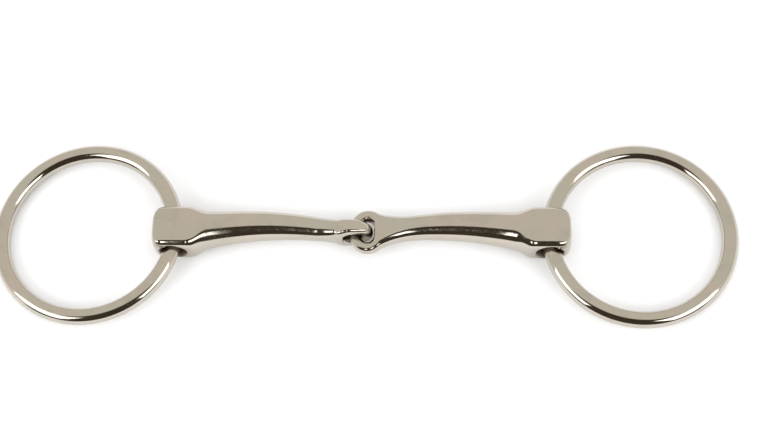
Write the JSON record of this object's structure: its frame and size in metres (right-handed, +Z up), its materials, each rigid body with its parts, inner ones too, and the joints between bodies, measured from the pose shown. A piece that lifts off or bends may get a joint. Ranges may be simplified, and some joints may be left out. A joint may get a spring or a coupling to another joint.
{
  "type": "snaffle bit",
  "caption": "Loose-ring jointed snaffle bit: a tapered, bowed metal mouthpiece linked at its middle, with a round-wire ring through each end.",
  "frame": {"origin": "on the surface the bit lies on, under the middle of the mouthpiece", "axes": "+X along the mouthpiece from the left ring to the right one, +Y across it towards the side that the cannons bow to, +Z up"},
  "size_m": [0.2648, 0.069, 0.0136],
  "materials": {
    "cannon_metal": "polished nickel-coloured steel casting",
    "ring_metal": "polished nickel-coloured steel wire"
  },
  "bodies": {
    "left_cannon": {"left_cannon": "cannon_metal"},
    "right_cannon": {"right_cannon": "cannon_metal"},
    "left_ring": {"left_ring": "ring_metal"},
    "right_ring": {"right_ring": "ring_metal"}
  },
  "joints": [
    {"name": "centre_fold", "type": "hinge", "parent": "left_cannon", "child": "right_cannon", "pos_m": [0.0023, 0, 0.0068], "axis": [0, 0, 1], "range_deg": [-90, 90]},
    {"name": "left_ring_swing", "type": "hinge", "parent": "left_cannon", "child": "left_ring", "pos_m": [-0.06645, 0, 0.0068], "axis": [0, 1, 0], "range_deg": [-132, 138]},
    {"name": "right_ring_swing", "type": "hinge", "parent": "right_cannon", "child": "right_ring", "pos_m": [0.06645, 0, 0.0068], "axis": [0, -1, 0], "range_deg": [-132, 138]}
  ]
}
